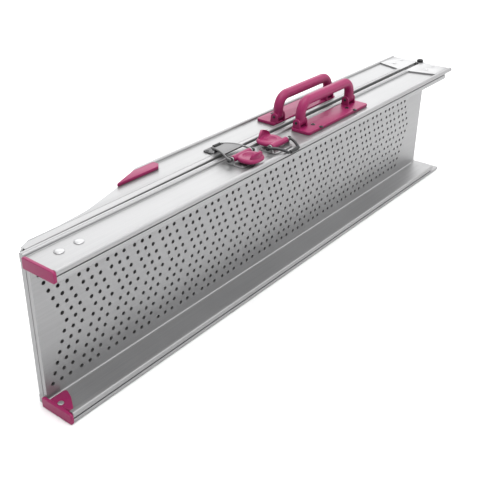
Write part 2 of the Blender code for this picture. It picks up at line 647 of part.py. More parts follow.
def latch(name, x, pin_y, reach, bail_path, bar_half, has_strap):
    """A cam lever and a wire bail on one pin. The lever lies along -reach and the bail along +reach."""
    pin = (pin_y, WIDTH + PIN_RISE)
    base = latch_base(f"{name}_base", x, pin, reach)
    lever = latch_lever(f"{name}_lever", x, pin, reach)
    bail = latch_bail(f"{name}_bail", x, pin, bail_path, bar_half, has_strap)
    sleeve_half = bar_half - 2 * WIRE
    tube = rod("X", bail_path[-1], x - sleeve_half, x + sleeve_half, SLEEVE, sides=12)
    sleeve = add(f"{name}_sleeve", tube, BLACK, smooth=True)
    hole(sleeve, "X", bail_path[-1], x - 0.03, x + 0.03, radius=WIRE + 0.0004)
    for thing in (base, lever, bail):
        hole(thing, "X", pin, x - 0.035, x + 0.035, radius=LATCH_PIN + 0.0004)
    pin_rod = rod("X", pin, x - LATCH_PIN_HALF, x + LATCH_PIN_HALF, LATCH_PIN)
    add(f"{name}_pin", pin_rod, CHROME, smooth=True)


def fold_keeper():
    """The hook on the upper section, just below the end bar of the transport latch."""
    x = LATCH_FOLD_X
    plate = rectangle(x - 0.012, KEEPER_Y - 0.0037, x + 0.012, KEEPER_Y + 0.0180, 0.003)
    keeper = add("fold_keeper", prism(plate, "Z", SEAT, SEAT + LATCH_SHEET), CHROME)
    foot_z = SEAT + LATCH_SHEET / 2
    under_z = WIDTH + 0.0014
    back_y, stem_y, nose_y = KEEPER_Y - 0.0035, KEEPER_Y - 0.0017, KEEPER_Y + 0.0025
    hook = [(back_y, foot_z, 0), (stem_y, foot_z, 0), (stem_y, under_z, 0.0006), (nose_y, under_z, 0),
            (nose_y, under_z + LATCH_SHEET, 0), (back_y, under_z + LATCH_SHEET, 0.0016)]
    combine(keeper, prism(rounded(hook), "X", x - 0.008, x + 0.008), "UNION")


def slide_bail_path():
    """From the pin, over both rims to the end bar in front of the inner channel's flange."""
    run = -OUTER_RIM - BAIL_FRONT - SLIDE_PIN_Y
    drop = PIN_RISE - BAIL_RISE
    return [(SLIDE_PIN_Y + run * k / 6, WIDTH + PIN_RISE + 0.002 * sin(pi * k / 6) - drop * (k / 6) ** 2)
            for k in range(7)]


def fold_bail_path():
    """From the pin, arched over both foot beads to the keeper on the other section."""
    run = KEEPER_Y - FOLD_PIN_Y
    arc = [(k / 6, 0.0025 * k / 6 + 0.0035 * sin(pi * k / 6)) for k in range(7)]
    return [(FOLD_PIN_Y + run * part, WIDTH + PIN_RISE + rise) for part, rise in arc]


clear_scene()
frame = bpy.data.objects.new("ramp_frame", None)
bpy.context.collection.objects.link(frame)
frame.location = (-X_MID, -Y_MID, 0)

outer = outer_channel()
inner = inner_channel()
upper = upper_channel()
fit_end_caps(inner)
telescope_guides(outer)
landing_lip()
rim_wedge("rim_wedge_top", SEAT, WIDTH + WEDGE_RISE)
rim_wedge("rim_wedge_bottom", GAP, RECESS - GAP)
hinge_leaves("lower", -1, outer)
hinge_leaves("upper", 1, upper)
hinge_bolts((outer, upper))
handle("lower", -1, LOWER_HANDLE_Y, LOWER_PLATE_IN)
handle("upper", 1, UPPER_HANDLE_Y, UPPER_PLATE_IN)
latch("slide_latch", LATCH_SLIDE_X, SLIDE_PIN_Y, -1, slide_bail_path(), SLIDE_BAR_HALF, False)
latch("fold_latch", LATCH_FOLD_X, FOLD_PIN_Y, 1, fold_bail_path(), FOLD_BAR_HALF, True)
fold_keeper()
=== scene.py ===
"""Looks of the portable folding and telescoping channel ramp, stowed on its long side."""
import json
from math import acos, cos, pi, radians, sin, tan
import bpy
import bmesh
from mathutils import Matrix, Quaternion, Vector


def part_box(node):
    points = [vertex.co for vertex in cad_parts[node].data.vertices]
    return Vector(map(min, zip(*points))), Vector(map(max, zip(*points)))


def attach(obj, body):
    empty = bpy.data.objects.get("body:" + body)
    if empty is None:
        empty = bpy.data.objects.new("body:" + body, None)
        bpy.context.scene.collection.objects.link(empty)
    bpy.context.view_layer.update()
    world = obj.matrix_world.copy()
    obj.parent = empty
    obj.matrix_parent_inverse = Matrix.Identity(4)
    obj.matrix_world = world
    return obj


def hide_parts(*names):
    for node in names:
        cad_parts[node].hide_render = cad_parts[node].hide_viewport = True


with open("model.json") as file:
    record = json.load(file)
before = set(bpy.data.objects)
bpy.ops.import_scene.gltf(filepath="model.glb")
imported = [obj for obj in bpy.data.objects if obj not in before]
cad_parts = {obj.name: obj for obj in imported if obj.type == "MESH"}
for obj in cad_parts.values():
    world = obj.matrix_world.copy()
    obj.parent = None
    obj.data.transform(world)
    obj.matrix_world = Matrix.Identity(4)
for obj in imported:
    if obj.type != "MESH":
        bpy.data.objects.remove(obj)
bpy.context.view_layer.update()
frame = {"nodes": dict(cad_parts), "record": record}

NODES = frame["nodes"]
BODY_OF = {node: body for body, nodes in frame["record"]["behaviour"]["bodies"].items() for node in nodes}
SLOT_OF = {row["node"]: row["material_slot"] for row in frame["record"]["subparts"]}

# ---------------------------------------------------------------- places and sizes, metres
outer_low, outer_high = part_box("outer_channel")
upper_low, upper_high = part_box("upper_channel")
GAP = 0.0003
WIDTH = outer_high.z
FOLD_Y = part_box("hinge_bolt_top")[0].y / 2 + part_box("hinge_bolt_top")[1].y / 2    # the fold plane
START_X = outer_low.x - GAP                  # lower end of the ramp
LENGTH = outer_high.x - START_X              # from there to the seam end of the sections
OUTER_RIM = FOLD_Y - outer_low.y
UPPER_RIM = upper_high.y - FOLD_Y
FOOT = FOLD_Y - outer_high.y
HORN_X = upper_low.x - START_X
INNER_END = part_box("inner_channel")[1].x - START_X

FLOOR_BACK, FLOOR = 0.0109, 0.0026           # fold plane to the floors, and their thickness
RECESS, WALL = 0.0042, 0.0024                # wall webs inside the beads
FOOT_BEAD, FOOT_BEAD_DEEP, FOOT_EDGE = 0.0085, 0.0125, 0.0015
RIM_BEAD = 0.0075
SLIDE_PLAY, INNER_FLANGE = 0.0018, 0.0086
WEB = WIDTH - RECESS
WEB_IN = WEB - WALL
INNER_SIDE = WEB_IN - SLIDE_PLAY
INNER_FACE = INNER_SIDE - WALL
INNER_LIFT, INNER_PLATE = 0.0029, 0.0046     # outer floor to inner floor, and the inner floor's thickness
INNER_BACK = FLOOR_BACK + FLOOR + INNER_LIFT
INNER_FLOOR = INNER_BACK + INNER_PLATE
SEAT = WEB + GAP                             # height of the fittings' undersides on the top wall
LIP_BEND_X = 0.040
LIP = 0.0027
HORN_END_X = 0.600                           # from here on, the upper section's feet are straight
END_RIB = 0.0045                             # X of the far side of the ribs across the lower ends
# outline (x, y, radius) of the upper section's tapered end
TAPER = ((HORN_X, 0.0036, 0), (0.030, 0.0128, 0.020), (0.130, 0.0225, 0.10), (0.204, 0.0430, 0.02),
         (0.268, UPPER_RIM, 0.004))
GROOVE, GROOVE_DEEP = 0.0047, 0.0010         # groove along each foot bead

LEAF_START, LEAF = 0.952, 0.0026             # lower edge of the hinge leaves, and their thickness
BOLT_HEAD, BOLT_SHANK = 0.0062, 0.0030       # radii
NUT_DEEP, NUT_ROOM = 0.0072, 0.0006          # pocket of a hinge nut below the web, and round the nut
SHEET = 0.0016                               # sheet of the latch bases and the keeper
LIP_RIVET_X, LIP_RIVETS = 0.050, 6

GRIP, GRIP_BEND, GRIP_TOP = 0.0083, 0.021, 0.0085    # radius, radius of the bends, axis below the crown
PLATE_LIFT = 0.0012                          # top of the handle plates above the wall beads
LUG, LUG_HALF, LUG_X = 0.0065, 0.0016, 0.0101        # radius, half thickness, distance from the pin's middle
SCREW_X, SCREW_SPREAD = 0.022, 0.008

LEVER_HALF, LEVER_DEEP = 0.0205, 0.018       # half width of a latch lever, and half its depth
EYE_X = 0.0285                               # eyes of a bail from the middle of its pin
END_BAR, SLEEVE = 0.0015, 0.0030            # radii of a bail's end bar and of its sleeve
WIRE, STRAP_WIRE, STRAP = 0.0023, 0.0016, 0.0007     # radii of the bails' wires, and half the strap's thickness

COLUMNS = 13                                 # floor holes across the width
COLUMN = 0.0137                              # pitch of the columns
ROW = 0.0147                                 # pitch of the rows in a group of three
GROUP = 0.049                                # pitch of the groups
LEAN = 0.0055                                # each column lies this far behind its neighbour
HOLE, HOLE_SIDES = 0.0030, 12                # radius and sides
LOWER_ROWS_X, UPPER_ROWS_X = 0.045, 0.0676   # first row of holes
FIELD_LOW = WIDTH / 2 - COLUMNS / 2 * COLUMN
FIELD_HIGH = WIDTH - FIELD_LOW


def at(x, y, z):
    """A point of the ramp's own frame (X from the lower end, Y from the fold plane) in the row frame."""
    return Vector((x + START_X, y + FOLD_Y, z))


def middle(node):
    low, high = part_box(node)
    return (low + high) / 2 - at(0, 0, 0)


# ---------------------------------------------------------------- materials
def textured(name, colour, roughness, metallic, stretch, grain, spread, relief, scuff=0.0, specular=0.5):
    """A finish whose tint, roughness and relief follow stretched noise in the piece's own frame."""
    material = bpy.data.materials.new(name)
    material.use_nodes = True
    nodes, links = material.node_tree.nodes, material.node_tree.links
    shader = nodes["Principled BSDF"]
    shader.inputs["Metallic"].default_value = metallic
    shader.inputs["Specular IOR Level"].default_value = specular
    place = nodes.new("ShaderNodeTexCoord")
    mapping = nodes.new("ShaderNodeMapping")
    mapping.inputs["Scale"].default_value = stretch
    links.new(place.outputs["Object"], mapping.inputs["Vector"])

    def noise(scale, detail, vector):
        texture = nodes.new("ShaderNodeTexNoise")
        texture.inputs["Scale"].default_value = scale
        texture.inputs["Detail"].default_value = detail
        links.new(vector, texture.inputs["Vector"])
        return texture.outputs["Fac"]

    def ranged(value, low, high, to_low, to_high):
        node = nodes.new("ShaderNodeMapRange")
        for key, number in (("From Min", low), ("From Max", high), ("To Min", to_low), ("To Max", to_high)):
            node.inputs[key].default_value = number
        links.new(value, node.inputs["Value"])
        return node.outputs["Result"]

    def sum_of(first, second):
        node = nodes.new("ShaderNodeMath")
        node.operation = "ADD"
        links.new(first, node.inputs[0])
        links.new(second, node.inputs[1])
        return node.outputs["Value"]

    fine = noise(grain, 5.0, mapping.outputs["Vector"])
    cloud = noise(9.0, 3.0, place.outputs["Object"])
    streak = noise(grain * 0.23, 2.0, mapping.outputs["Vector"])
    scratch = ranged(streak, 0.66, 0.72, 0.0, scuff)
    tone = nodes.new("ShaderNodeMix")
    tone.data_type = "RGBA"
    tone.inputs["A"].default_value = (*[part * (1 - spread) for part in colour], 1.0)
    tone.inputs["B"].default_value = (*[min(1.0, part * (1 + spread)) for part in colour], 1.0)
    links.new(ranged(sum_of(fine, cloud), 0.75, 1.25, 0.0, 1.0), tone.inputs["Factor"])
    links.new(tone.outputs["Result"], shader.inputs["Base Color"])
    rough = ranged(sum_of(fine, cloud), 0.7, 1.3, roughness * (1 - spread), roughness * (1 + spread))
    links.new(sum_of(rough, scratch), shader.inputs["Roughness"])
    bump = nodes.new("ShaderNodeBump")
    bump.inputs["Strength"].default_value = relief
    bump.inputs["Distance"].default_value = 0.0004
    links.new(sum_of(fine, scratch), bump.inputs["Height"])
    links.new(bump.outputs["Normal"], shader.inputs["Normal"])
    return material


# name, colour, roughness, metallic, stretch of the noise, its scale, spread, relief, scuff and specular level
LOOKS = {
    "aluminium": textured("satin_aluminium", (0.31, 0.31, 0.313), 0.42, 0.80, (1.5, 90, 90), 4.0, 0.05, 0.05, 0.06),
    "hinge_plate": textured("hinge_aluminium", (0.33, 0.33, 0.333), 0.38, 0.82, (60, 60, 2), 4.0, 0.05, 0.05, 0.05),
    "rivet_metal": textured("rivet_aluminium", (0.38, 0.38, 0.384), 0.34, 0.9, (30, 30, 30), 8.0, 0.06, 0.04, 0.05),
    "steel": textured("dark_plated_steel", (0.05, 0.05, 0.052), 0.32, 1.0, (12, 60, 60), 9.0, 0.12, 0.05, 0.10),
    "magenta_plastic": textured("magenta_plastic", (0.21, 0.009, 0.068), 0.40, 0.0, (1, 1, 1), 900.0, 0.08, 0.05,
                                0.05, 0.28),
    "black_plastic": textured("black_plastic", (0.012, 0.012, 0.013), 0.45, 0.0, (1, 1, 1), 700.0, 0.20, 0.08,
                              0.05, 0.3),
}
STRAP_STEEL = textured("strap_steel", (0.15, 0.15, 0.152), 0.42, 1.0, (90, 4, 90), 4.0, 0.10, 0.06, 0.06)


# ---------------------------------------------------------------- outlines and solids
def rounded(corners, steps=6):
    """Replace each (u, v, radius) corner of a closed outline with an arc."""
    outline = []
    for i, (u, v, radius) in enumerate(corners):
        here = Vector((u, v))
        to_last = (Vector(corners[i - 1][:2]) - here).normalized()
        to_next = (Vector(corners[(i + 1) % len(corners)][:2]) - here).normalized()
        half = acos(max(-1.0, min(1.0, to_last.dot(to_next)))) / 2
        if radius == 0:
            outline.append(here)
            continue
        centre = here + (to_last + to_next).normalized() * radius / sin(half)
        start = here + to_last * radius / tan(half) - centre
        end = here + to_next * radius / tan(half) - centre
        turn = start.angle_signed(end)
        for k in range(steps + 1):
            angle = -turn * k / steps
            spun = Vector((start.x * cos(angle) - start.y * sin(angle),
                           start.x * sin(angle) + start.y * cos(angle)))
            outline.append(centre + spun)
    return outline


def rectangle(u0, v0, u1, v1, radius=0):
    return rounded([(u0, v0, radius), (u1, v0, radius), (u1, v1, radius), (u0, v1, radius)])


def circle(u, v, radius, sides):
    return [Vector((u + radius * cos(2 * pi * k / sides), v + radius * sin(2 * pi * k / sides)))
            for k in range(sides)]


def placed(axis, along, u, v):
    """A point from its place along an axis and its two other coordinates, in X, Y, Z order."""
    if axis == "X":
        return (along, u, v)
    if axis == "Y":
        return (u, along, v)
    return (u, v, along)


def loft(rings, bm=None):
    """A closed solid through rings of the same number of points."""
    bm = bm or bmesh.new()
    rings = [[bm.verts.new(point) for point in ring] for ring in rings]
    bm.faces.new(rings[0])
    bm.faces.new(rings[-1])
    count = len(rings[0])
    for ring, after in zip(rings, rings[1:]):
        for i in range(count):
            j = (i + 1) % count
            bm.faces.new((ring[i], ring[j], after[j], after[i]))
    return bm


def prism(outline, axis, low, high, bm=None):
    return loft([[placed(axis, along, *point) for point in outline] for along in (low, high)], bm)


def shrunk(outline, inset):
    """An outline moved in by an inset, along the inward bisector of each corner."""
    count = len(outline)
    area = sum(outline[i - 1].cross(outline[i]) for i in range(count))
    moved = []
    for i in range(count):
        before = (outline[i] - outline[i - 1]).normalized()
        after = (outline[(i + 1) % count] - outline[i]).normalized()
        inward = Vector((-(before.y + after.y), before.x + after.x))
        inward *= 1 if area > 0 else -1
        moved.append(outline[i] + inward.normalized() * inset / max(0.5, inward.length / 2))
    return moved


def eased(outline, axis, low, high, edge, bm=None):
    """A prism with rounded edges all round."""
    rings = []
    for along, turn in ((low, 1), (high, -1)):
        steps = [(along + turn * edge * (1 - sin(pi / 2 * k / 3)), edge * (1 - cos(pi / 2 * k / 3)))
                 for k in range(4)]
        rings += reversed(steps) if turn > 0 else steps
    return loft([[placed(axis, along, *point) for point in shrunk(outline, inset)] for along, inset in rings], bm)


def turned(profile, axis, u, v, sides=32, bm=None):
    """A closed turned shape from (along, radius) pairs, round a line parallel to an axis."""
    return loft([[placed(axis, along, *point) for point in circle(u, v, radius, sides)]
                 for along, radius in profile], bm)


def swept(path, radius, sides=16, flat=1.0, bm=None):
    """A bar along a path that lies in one plane, round or flattened across that plane."""
    path = [Vector(point) for point in path]
    normal = next(n for a, b, c in zip(path, path[1:], path[2:])
                  if (n := (b - a).cross(c - b)).length > 1e-9).normalized()
    rings = []
    for i, point in enumerate(path):
        before = (point - path[max(i - 1, 0)]).normalized()
        after = (path[min(i + 1, len(path) - 1)] - point).normalized()
        side = normal.cross((before + after).normalized())
        rings.append([point + side * (radius * cos(2 * pi * k / sides))
                      + normal * (radius * flat * sin(2 * pi * k / sides)) for k in range(sides)])
    return loft(rings, bm)


# ---------------------------------------------------------------- objects
def baked(thing):
    """Apply the modifiers of an object."""
    bpy.context.view_layer.update()
    mesh = bpy.data.meshes.new_from_object(thing.evaluated_get(bpy.context.evaluated_depsgraph_get()))
    thing.modifiers.clear()
    thing.data = mesh
    return thing


def raw(name, bm):
    """An object from a bmesh that is drawn in the ramp's own frame."""
    bmesh.ops.remove_doubles(bm, verts=bm.verts, dist=1e-6)
    bmesh.ops.recalc_face_normals(bm, faces=bm.faces)
    bmesh.ops.translate(bm, verts=bm.verts, vec=at(0, 0, 0))
    mesh = bpy.data.meshes.new(name)
    bm.to_mesh(mesh)
    bm.free()
    thing = bpy.data.objects.new(name, mesh)
    bpy.context.scene.collection.objects.link(thing)
    return thing


def combine(thing, bm, operation="DIFFERENCE"):
    """Cut a bmesh from an object, or join the two."""
    tool = raw("tool", bm)
    modifier = thing.modifiers.new(operation, "BOOLEAN")
    modifier.operation = operation
    modifier.object = tool
    baked(thing)
    bpy.data.objects.remove(tool)
    return thing


def show(thing, like, *replaced, angle=35):
    """Finish a piece: it moves with one CAD node, has its finish and stands for the nodes named."""
    thing.data.shade_smooth()
    thing.data.set_sharp_from_angle(angle=radians(angle))
    thing.data.materials.clear()
    thing.data.materials.append(LOOKS[SLOT_OF[like]])
    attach(thing, BODY_OF[like])
    if replaced:
        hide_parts(*replaced)
    return thing


def refined(node, width=0.0004, segments=2):
    """A copy of a CAD node with its edges broken."""
    bm = bmesh.new()
    bm.from_mesh(NODES[node].data)
    bmesh.ops.remove_doubles(bm, verts=bm.verts, dist=1e-5)
    bmesh.ops.dissolve_limit(bm, angle_limit=radians(1), verts=bm.verts, edges=bm.edges)
    bmesh.ops.translate(bm, verts=bm.verts, vec=-at(0, 0, 0))
    thing = raw(f"{node}_skin", bm)
    bevel = thing.modifiers.new("edges", "BEVEL")
    bevel.width = width
    bevel.segments = segments
    bevel.limit_method = "ANGLE"
    bevel.angle_limit = radians(40)
    return show(baked(thing), node, node, angle=50)


def moulded(thing, voxel, passes):
    """Melt the shapes of a moulded piece into one smooth skin."""
    remesh = thing.modifiers.new("melt", "REMESH")
    remesh.mode = "VOXEL"
    remesh.voxel_size = voxel
    smooth = thing.modifiers.new("smooth", "SMOOTH")
    smooth.factor = 0.5
    smooth.iterations = passes
    return baked(thing)


def across(z, top):
    """A height for the top wall, or its mirror image for the bottom wall."""
    return z if top else WIDTH - z


# ---------------------------------------------------------------- channels
def chevron_rows(first, groups):
    """X of each row of holes, in groups of three."""
    return [first + GROUP * group + ROW * row for group in range(groups) for row in range(3)]


def perforated(x0, x1, y0, y1, rows, lean, bm):
    """A floor plate from x0 to x1 and y0 to y1, with chevron rows of round holes. It adds to bm."""
    lines = [rows[0] - ROW / 2] + [(a + b) / 2 for a, b in zip(rows, rows[1:])] + [rows[-1] + ROW / 2]
    edges = [(FIELD_LOW + COLUMN * j, lean * abs(j - COLUMNS / 2)) for j in range(COLUMNS + 1)]
    points, faces = [], []

    def face(corners):
        faces.append(range(len(points), len(points) + len(corners)))
        points.extend(corners)

    for (z0, shift0), (z1, shift1), column in zip(edges, edges[1:], range(COLUMNS)):
        for y in (y0, y1):
            for near, far in ((x0, lines[0]), (x1, lines[-1])):
                face([(near, y, z0), (near, y, z1), (far + shift1, y, z1), (far + shift0, y, z0)])
        for x in (x0, x1):
            face([(x, y0, z0), (x, y0, z1), (x, y1, z1), (x, y1, z0)])
        hole_shift = lean * abs(column - (COLUMNS - 1) / 2)
        for row, low, high in zip(rows, lines, lines[1:]):
            corners = [(high + shift1, z1), (low + shift1, z1), (low + shift0, z0), (high + shift0, z0)]
            ring = circle(row + hole_shift, (z0 + z1) / 2, HOLE, HOLE_SIDES)
            for y in (y0, y1):
                for quarter, corner in enumerate(corners):
                    start = quarter * HOLE_SIDES // 4
                    arc = [ring[(start + k) % HOLE_SIDES] for k in range(HOLE_SIDES // 4 + 1)]
                    for a, b in [*zip(arc, arc[1:]), (arc[-1], corners[(quarter + 1) % 4])]:
                        face([(corner[0], y, corner[1]), (a[0], y, a[1]), (b[0], y, b[1])])
            for a, b in zip(ring, ring[1:] + ring[:1]):
                face([(a.x, y0, a.y), (b.x, y0, b.y), (b.x, y1, b.y), (a.x, y1, a.y)])
    for z, shift in (edges[0], edges[-1]):
        stations = [x0] + [line + shift for line in lines] + [x1]
        for a, b in zip(stations, stations[1:]):
            face([(a, y0, z), (b, y0, z), (b, y1, z), (a, y1, z)])
    mesh = bpy.data.meshes.new("field")
    mesh.from_pydata(points, [], faces)
    bm.from_mesh(mesh)
    bpy.data.meshes.remove(mesh)


def channel_half(rim, foot=FOOT):
    """Half of an outer or upper section: floor, beaded foot, recessed web and beaded rim."""
    return [(FLOOR_BACK, FIELD_HIGH, 0), (FLOOR_BACK, WIDTH - FOOT_BEAD_DEEP, 0.001),
            (foot, WIDTH - FOOT_BEAD_DEEP, 0.001), (foot, WIDTH, FOOT_EDGE),
            (FOOT + GROOVE - GROOVE_DEEP / 2, WIDTH, 0.0003), (FOOT + GROOVE, WIDTH - GROOVE_DEEP, 0),
            (FOOT + GROOVE + GROOVE_DEEP / 2, WIDTH, 0.0003), (FOOT + FOOT_BEAD, WIDTH, 0.0028),
            (FOOT + FOOT_BEAD, WEB, 0.0008), (rim - RIM_BEAD, WEB, 0.0008), (rim - RIM_BEAD, WIDTH, 0.0028),
            (rim, WIDTH, 0.003), (rim, WEB_IN, 0.0006), (FLOOR_BACK + FLOOR, WEB_IN, 0.002),
            (FLOOR_BACK + FLOOR, FIELD_HIGH, 0)]


INNER_HALF = [(INNER_BACK, FIELD_HIGH, 0), (INNER_BACK, INNER_SIDE, 0.003), (OUTER_RIM, INNER_SIDE, 0.0015),
              (OUTER_RIM, INNER_SIDE - INNER_FLANGE, 0.0022),
              (OUTER_RIM - RIM_BEAD, INNER_SIDE - INNER_FLANGE, 0.001), (OUTER_RIM - RIM_BEAD, INNER_FACE, 0.0006),
              (INNER_FLOOR, INNER_FACE, 0.003), (INNER_FLOOR, FIELD_HIGH, 0)]


def walls(name, side, *stations):
    """Both walls of a channel, out to the edges of its perforated field, through (x, half section) stations."""
    bm = bmesh.new()
    for top in (True, False):
        loft([[(x, side * t, across(z, top)) for t, z in rounded(half)] for x, half in stations], bm)
    return raw(name, bm)


def cut_for_leaves(thing, side):
    """Seats for the hinge leaves, where the foot beads end before the seam."""
    y0, y1 = sorted((side * (FOOT - 0.002), side * (FOOT + FOOT_BEAD + 0.001)))
    bm = bmesh.new()
    for low, high in ((WEB, WIDTH + 0.002), (-0.002, RECESS)):
        prism(rectangle(LEAF_START - 0.001, y0, LENGTH + 0.01, y1), "Z", low, high, bm)
    return combine(thing, bm)


def cut_for_nuts(thing):
    """A round pocket in the foot of each wall, which clears the hinge nut that both sections share."""
    bm = bmesh.new()
    for end, top in (("top", True), ("bottom", False)):
        low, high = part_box(f"hinge_nut_{end}")
        ends = [(across(z, top), (high.x - low.x) / 2 + NUT_ROOM) for z in (WEB - NUT_DEEP, WEB + 0.0005)]
        turned(ends, "Z", middle(f"hinge_nut_{end}").x, 0, bm=bm)
    return combine(thing, bm)


def add_floor(thing, x0, x1, y0, y1, rows, lean, node, rib=None):
    """Give the walls of a channel their floor, and a rib between the two Y values of rib across its lower end."""
    bm = bmesh.new()
    perforated(x0, x1, y0, y1, rows, lean, bm)
    if rib:
        prism(rectangle(2 * GAP, rib[0], END_RIB, rib[1], 0.0002), "Z", FOOT_BEAD_DEEP - 0.001,
              WIDTH - FOOT_BEAD_DEEP + 0.001, bm)
    plate = raw("plate", bm)
    whole = bmesh.new()
    whole.from_mesh(thing.data)
    whole.from_mesh(plate.data)
    whole.to_mesh(thing.data)
    whole.free()
    bpy.data.objects.remove(plate)
    return show(thing, node, node)


def channels():
    """The outer, inner and upper channels, with their perforated floors."""
    half = channel_half(OUTER_RIM)
    outer = cut_for_nuts(cut_for_leaves(walls("outer_channel_skin", -1, (GAP, half), (LENGTH, half)), -1))
    add_floor(outer, GAP, LENGTH, -FLOOR_BACK - FLOOR, -FLOOR_BACK, chevron_rows(LOWER_ROWS_X, 20), -LEAN,
              "outer_channel", (-FLOOR_BACK - 0.001, -FOOT - GAP))
    inner = walls("inner_channel_skin", -1, (GAP, INNER_HALF), (INNER_END, INNER_HALF))
    add_floor(inner, GAP, INNER_END, -INNER_FLOOR, -INNER_BACK, chevron_rows(LOWER_ROWS_X, 19), -LEAN,
              "inner_channel", (-INNER_BACK - 0.001, -FLOOR_BACK - FLOOR - GAP))
    half = channel_half(UPPER_RIM)
    horn_foot = upper_low.y - FOLD_Y
    stations = (HORN_X, channel_half(UPPER_RIM, horn_foot)), (HORN_END_X, half), (LENGTH, half)
    upper = cut_for_nuts(cut_for_leaves(walls("upper_channel_skin", 1, *stations), 1))
    x0, y0 = TAPER[0][:2]
    x1 = TAPER[-1][0]
    over = UPPER_RIM + 0.01
    cut = [(x0 - 0.01, y0, 0), *TAPER, (x1 + 0.02, over - 0.005, 0), (x1, over, 0), (x0 - 0.01, over, 0)]
    combine(upper, prism(rounded(cut, 12), "Z", -0.01, WIDTH + 0.01))
    room = rectangle(x0 - 0.001, horn_foot - 0.001, LIP_BEND_X + GAP, 2 * FLOOR_BACK)
    combine(upper, prism(room, "Z", FOOT_BEAD_DEEP, WIDTH - FOOT_BEAD_DEEP))
    add_floor(upper, LIP_BEND_X + GAP, LENGTH, FLOOR_BACK, FLOOR_BACK + FLOOR, chevron_rows(UPPER_ROWS_X, 19),
              LEAN, "upper_channel")


# ---------------------------------------------------------------- fasteners
def dome(spot, face, out, head, rise, bm, sides=28):
    """A domed head along Z on a face, with a small flat rim."""
    profile = [(face - out * 0.0002, head), (face + out * rise * 0.22, head)]
    profile += [(face + out * rise * (0.22 + 0.78 * sin(pi / 2 * k / 6)), head * cos(pi / 2 * k / 6) + 0.00005)
                for k in range(1, 7)]
    return turned(profile, "Z", *spot, sides=sides, bm=bm)


def screw(spot, face, bm):
    """A pan head screw with a round recess in its crown, on top of a face."""
    profile = [(face - 0.0004, 0.0037), (face + 0.0004, 0.0037), (face + 0.0010, 0.0033), (face + 0.0013, 0.0024),
               (face + 0.0013, 0.0016), (face + 0.0004, 0.0014)]
    turned(profile, "Z", *spot, sides=24, bm=bm)


def group(name, spots, like, head, rise, out=1):
    """Several equal heads as one piece. Each spot is (x, y, face)."""
    bm = bmesh.new()
    for x, y, face in spots:
        dome((x, y), face, out, head, rise, bm)
    return show(raw(name, bm), like)


def rivet_skins():
    """Finer heads for the rivets of the CAD model."""
    for node in sorted(NODES):
        if "rivet" not in node:
            continue
        low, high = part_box(node)
        centre = middle(node)
        top = "_top" in node
        out = -1 if node.startswith("end_cap") == top else 1
        head = (high.x - low.x) / 2
        rise = 0.0018 if node.startswith("glide") else 0.0012
        tip = high.z if out > 0 else low.z
        bm = bmesh.new()
        dome((centre.x, centre.y), tip - out * rise, out, head, rise, bm)
        show(raw(f"{node}_skin", bm), node, node)


# ---------------------------------------------------------------- hinge
def hinge_skins():
    """The leaves, bolts, shanks and nuts of the fold hinge."""
    for section in ("lower", "upper"):
        for end in ("top", "bottom"):
            refined(f"hinge_leaf_{section}_{end}", 0.0005, 3)
    for end, top, rise in (("top", True, 0.0050), ("bottom", False, 0.0010)):
        face = SEAT + LEAF + 0.0001
        x = middle(f"hinge_bolt_{end}").x
        edge = min(rise * 0.45, 0.0016)
        rounds = [(face + rise - edge + edge * sin(pi / 2 * k / 5), BOLT_HEAD - edge + edge * cos(pi / 2 * k / 5))
                  for k in range(6)]
        profile = [(face, BOLT_HEAD), *rounds, (face + rise, 0.0030), (face + rise * 0.85, 0.0026)]
        show(raw(f"hinge_bolt_{end}_skin", turned([(across(z, top), r) for z, r in profile], "Z", x, 0)),
             f"hinge_bolt_{end}", f"hinge_bolt_{end}")
        shank = turned([(across(WEB - NUT_DEEP, top), 0.0026), (across(WEB - 0.0068, top), BOLT_SHANK),
                        (across(face, top), BOLT_SHANK)], "Z", x, 0)
        show(raw(f"hinge_shank_{end}", shank), "hinge_bolt_bottom")
        refined(f"hinge_nut_{end}", 0.0004, 2)


# ---------------------------------------------------------------- handles
def grip_path(pivot, feet, height, bend):
    """The axis of a grip, from one foot up, along and down to the other."""
    y, foot_z = pivot
    path = [(feet[0], y, foot_z)]
    for centre_x, start in ((feet[0] + bend, pi), (feet[1] - bend, pi / 2)):
        for k in range(15):
            angle = start - pi / 2 * k / 14
            path.append((centre_x + bend * cos(angle), y, height - bend + bend * sin(angle)))
    return path + [(feet[1], y, foot_z)]


